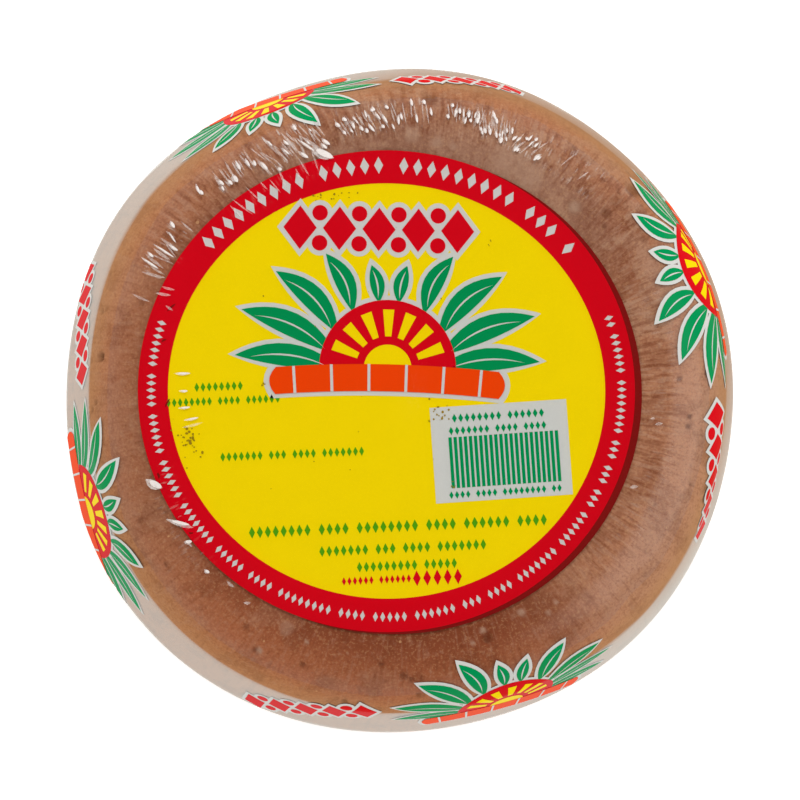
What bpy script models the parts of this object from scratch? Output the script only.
"""A round pack of panela, the unrefined cane sugar sold in cast blocks.

Two bowl-cast blocks lie with their wide faces together, wrapped in tight clear shrink film.
The film carries a round printed label: a yellow field inside a red ring. The pack lies on the
flat face of the lower block, with the label on top. Metres, +Z up, the origin at the middle of
the underside, and the label reads upright for someone at -Y.
"""
import math

import bmesh
import bpy

# One block, as it comes out of its round mould
SEAM_RADIUS = 0.0673
BLOCK_HEIGHT = 0.027
SHOULDER_RADIUS = 0.014
WALL_DRAFT = math.radians(16.3)
LIP_RADIUS = 0.0015

# The gap that parts neighbouring pieces, and the heights of the two mating faces
GAP = 0.0003
LOWER_FACE = BLOCK_HEIGHT
UPPER_FACE = BLOCK_HEIGHT + GAP

# The label, a thin skin that lies on the pack, a little left of the pack's axis
LABEL_CENTRE = (-0.0051, 0.0003)
LABEL_HALF_WIDTH = 0.0479
LABEL_HALF_HEIGHT = 0.0463
FIELD_HALF_WIDTH = 0.0424
FIELD_HALF_HEIGHT = 0.0402
LABEL_THICKNESS = 0.0003

# How finely the round shapes are cut
SEGMENTS = 80
FACE_RINGS = 6
SHOULDER_RINGS = 7
WALL_RINGS = 4
LIP_RINGS = 3
FIELD_RINGS = 4
RING_RINGS = 2

# Slow waves of the outline, into which the film draws both blocks: how many round the block, how
# high, and where the first stands
OUTLINE_WAVES = (
    (1, 0.000385, math.radians(154.1)),
    (2, 0.00054, math.radians(-46.3)),
    (3, 0.00016, math.radians(0.1)),
    (4, 0.00043, math.radians(152.0)),
    (5, 0.00025, math.radians(-42.2)),
    (6, 0.00020, math.radians(-127.6)),
)

# Shallow hollows of the upper block: angle from +X, way along the film from the axis, reach, depth
UPPER_HOLLOWS = (
    (math.radians(107), 0.0530, 0.0100, 0.0009),
    (math.radians(66), 0.0570, 0.0085, 0.0006),
    (math.radians(143), 0.0590, 0.0075, 0.0005),
    (math.radians(205), 0.0560, 0.0090, 0.0005),
    (math.radians(262), 0.0570, 0.0110, 0.0006),
    (math.radians(318), 0.0600, 0.0080, 0.0004),
)
LOWER_HOLLOWS = (
    (math.radians(35), 0.0600, 0.0085, 0.0005),
    (math.radians(170), 0.0610, 0.0100, 0.0006),
    (math.radians(285), 0.0590, 0.0090, 0.0005),
)

# Colours in linear light, with roughness
PANELA_BROWN = (0.361, 0.159, 0.093, 1.0)
LABEL_RED = (0.591, 0.001, 0.008, 1.0)
LABEL_YELLOW = (0.807, 0.597, 0.001, 1.0)
FILM_ROUGHNESS = 0.25


class Meridian:
    """The outer line of a block, from the middle of its flat face to the edge of its mating face."""

    def __init__(self):
        sine = math.sin(WALL_DRAFT)
        cosine = math.cos(WALL_DRAFT)
        self.rim_height = BLOCK_HEIGHT - SHOULDER_RADIUS * (1 - sine)
        self.rim_radius = SEAM_RADIUS - self.rim_height * math.tan(WALL_DRAFT)
        self.face_radius = self.rim_radius - SHOULDER_RADIUS * cosine
        self.lip_centre = SEAM_RADIUS - LIP_RADIUS * (1 + sine) / cosine
        lip_top_radius = self.lip_centre + LIP_RADIUS * cosine
        lip_top_height = LIP_RADIUS * (1 + sine)
        self.shoulder_start = self.face_radius
        self.wall_start = self.shoulder_start + SHOULDER_RADIUS * (math.pi / 2 - WALL_DRAFT)
        wall = math.hypot(lip_top_radius - self.rim_radius, self.rim_height - lip_top_height)
        self.lip_start = self.wall_start + wall
        self.end = self.lip_start + LIP_RADIUS * (math.pi / 2 + WALL_DRAFT)

    def at(self, way):
        """Radius, height over the mating plane, and the outward normal, at a way along the line."""
        if way <= self.shoulder_start:
            return way, BLOCK_HEIGHT, 0.0, 1.0
        if way <= self.wall_start:
            turned = (way - self.shoulder_start) / SHOULDER_RADIUS
            out = math.sin(turned)
            up = math.cos(turned)
            radius = self.face_radius + SHOULDER_RADIUS * out
            return radius, BLOCK_HEIGHT - SHOULDER_RADIUS * (1 - up), out, up
        if way <= self.lip_start:
            down = way - self.wall_start
            out = math.cos(WALL_DRAFT)
            up = math.sin(WALL_DRAFT)
            return self.rim_radius + down * up, self.rim_height - down * out, out, up
        turned = WALL_DRAFT - (way - self.lip_start) / LIP_RADIUS
        out = math.cos(turned)
        up = math.sin(turned)
        return self.lip_centre + LIP_RADIUS * out, LIP_RADIUS * (1 + up), out, up

    def ways(self):
        """The ways along the line at which a block has its rings, the pole left out."""
        spans = (
            (0.0, self.shoulder_start, FACE_RINGS),
            (self.shoulder_start, self.wall_start, SHOULDER_RINGS),
            (self.wall_start, self.lip_start, WALL_RINGS),
            (self.lip_start, self.end, LIP_RINGS),
        )
        return [a + (b - a) * (i + 1) / count for a, b, count in spans for i in range(count)]


MERIDIAN = Meridian()


def smooth_step(low, high, value):
    """0 below low, 1 above high, and an even rise between them."""
    part = min(max((value - low) / (high - low), 0.0), 1.0)
    return part * part * (3 - 2 * part)


def unevenness(angle, way, hollows):
    """How far the cast surface stands out of the true round form, along its normal."""
    swell = sum(height * math.cos(count * angle + phase) for count, height, phase in OUTLINE_WAVES)
    out = swell * smooth_step(MERIDIAN.shoulder_start, MERIDIAN.wall_start, way)
    x = way * math.cos(angle)
    y = way * math.sin(angle)
    for hollow_angle, hollow_way, reach, depth in hollows:
        away = math.hypot(x - hollow_way * math.cos(hollow_angle), y - hollow_way * math.sin(hollow_angle))
        out -= depth * (1 - smooth_step(0.0, reach, away))
    return out


def skin_point(angle, way, lift, hollows):
    """Place across the pack and height over the mating face, lifted off the true form along its normal.

    The lip's underside keeps its height, so that the mating face stays flat.
    """
    radius, height, out, up = MERIDIAN.at(way)
    lift += unevenness(angle, way, hollows)
    radius += lift * out
    return radius * math.cos(angle), radius * math.sin(angle), height + lift * max(up, 0.0)


def upper_point(angle, way, lift=0.0):
    """A point of the upper block's skin."""
    x, y, height = skin_point(angle, way, lift, UPPER_HOLLOWS)
    return x, y, UPPER_FACE + height


def lower_point(angle, way, lift=0.0):
    """A point of the lower block's skin, which is the same casting turned over."""
    x, y, height = skin_point(angle, way, lift, LOWER_HOLLOWS)
    return x, y, LOWER_FACE - height


def film_colour(name, colour):
    """A material for what lies under the clear film."""
    material = bpy.data.materials.new(name)
    material.use_nodes = True
    shader = material.node_tree.nodes["Principled BSDF"]
    shader.inputs["Base Color"].default_value = colour
    shader.inputs["Metallic"].default_value = 0.0
    shader.inputs["Roughness"].default_value = FILM_ROUGHNESS
    return material


def add_ring(mesh, point, place):
    """A closed ring of vertices; place gives the angle and way on the pack of each segment."""
    return [mesh.verts.new(point(*place(2 * math.pi * i / SEGMENTS))) for i in range(SEGMENTS)]


def bridge(mesh, first, second):
    """A band of faces between two rings."""
    for i in range(SEGMENTS):
        j = (i + 1) % SEGMENTS
        mesh.faces.new((first[i], first[j], second[j], second[i]))


def close(mesh, ring, middle):
    """A fan of faces from a ring to its middle."""
    for i in range(SEGMENTS):
        mesh.faces.new((ring[i], ring[(i + 1) % SEGMENTS], middle))


def finish(name, mesh, colour):
    """Turns the faces outwards and makes the object."""
    bmesh.ops.recalc_face_normals(mesh, faces=mesh.faces)
    data = bpy.data.meshes.new(name)
    mesh.to_mesh(data)
    mesh.free()
    data.shade_smooth()
    data.set_sharp_from_angle(angle=math.radians(40))
    data.materials.append(film_colour(name + "_colour", colour))
    piece = bpy.data.objects.new(name, data)
    bpy.context.collection.objects.link(piece)
    return piece


def cast_block(name, point, mating_height):
    """One block: rings down its skin, closed at its flat face and at its mating face."""
    mesh = bmesh.new()
    pole = mesh.verts.new(point(0.0, 0.0))
    rings = [add_ring(mesh, point, lambda angle, way=way: (angle, way)) for way in MERIDIAN.ways()]
    close(mesh, rings[0], pole)
    for first, second in zip(rings, rings[1:]):
        bridge(mesh, first, second)
    close(mesh, rings[-1], mesh.verts.new((0.0, 0.0, mating_height)))
    return finish(name, mesh, PANELA_BROWN)


def label_place(half_width, half_height):
    """A function from the angle round the label to the angle and way on the pack."""

    def place(angle):
        x = LABEL_CENTRE[0] + half_width * math.cos(angle)
        y = LABEL_CENTRE[1] + half_height * math.sin(angle)
        return math.atan2(y, x), math.hypot(x, y)

    return place


def label_sheet(mesh, sizes, lift):
    """The rings of one face of a label piece, from its outer edge inwards."""
    return [
        add_ring(mesh, lambda angle, way: upper_point(angle, way, lift), label_place(wide, high))
        for wide, high in sizes
    ]


def label_field():
    """The yellow disc in the middle of the label."""
    mesh = bmesh.new()
    shares = [1 - i / FIELD_RINGS for i in range(FIELD_RINGS)]
    sizes = [((FIELD_HALF_WIDTH - GAP / 2) * s, (FIELD_HALF_HEIGHT - GAP / 2) * s) for s in shares]
    faces = []
    middle_angle, middle_way = label_place(0.0, 0.0)(0.0)
    for lift in (GAP, GAP + LABEL_THICKNESS):
        rings = label_sheet(mesh, sizes, lift)
        for first, second in zip(rings, rings[1:]):
            bridge(mesh, first, second)
        close(mesh, rings[-1], mesh.verts.new(upper_point(middle_angle, middle_way, lift)))
        faces.append(rings)
    bridge(mesh, faces[0][0], faces[1][0])
    return finish("label_field", mesh, LABEL_YELLOW)


def label_ring():
    """The red ring round the yellow field."""
    mesh = bmesh.new()
    inner = (FIELD_HALF_WIDTH + GAP / 2, FIELD_HALF_HEIGHT + GAP / 2)
    outer = (LABEL_HALF_WIDTH, LABEL_HALF_HEIGHT)
    sizes = [
        tuple(o + (n - o) * i / RING_RINGS for o, n in zip(outer, inner))
        for i in range(RING_RINGS + 1)
    ]
    faces = []
    for lift in (GAP, GAP + LABEL_THICKNESS):
        rings = label_sheet(mesh, sizes, lift)
        for first, second in zip(rings, rings[1:]):
            bridge(mesh, first, second)
        faces.append(rings)
    bridge(mesh, faces[0][0], faces[1][0])
    bridge(mesh, faces[0][-1], faces[1][-1])
    return finish("label_ring", mesh, LABEL_RED)


def main():
    for old in list(bpy.data.objects):
        bpy.data.objects.remove(old, do_unlink=True)
    cast_block("upper_block", upper_point, UPPER_FACE)
    cast_block("lower_block", lower_point, LOWER_FACE)
    label_field()
    label_ring()


main()
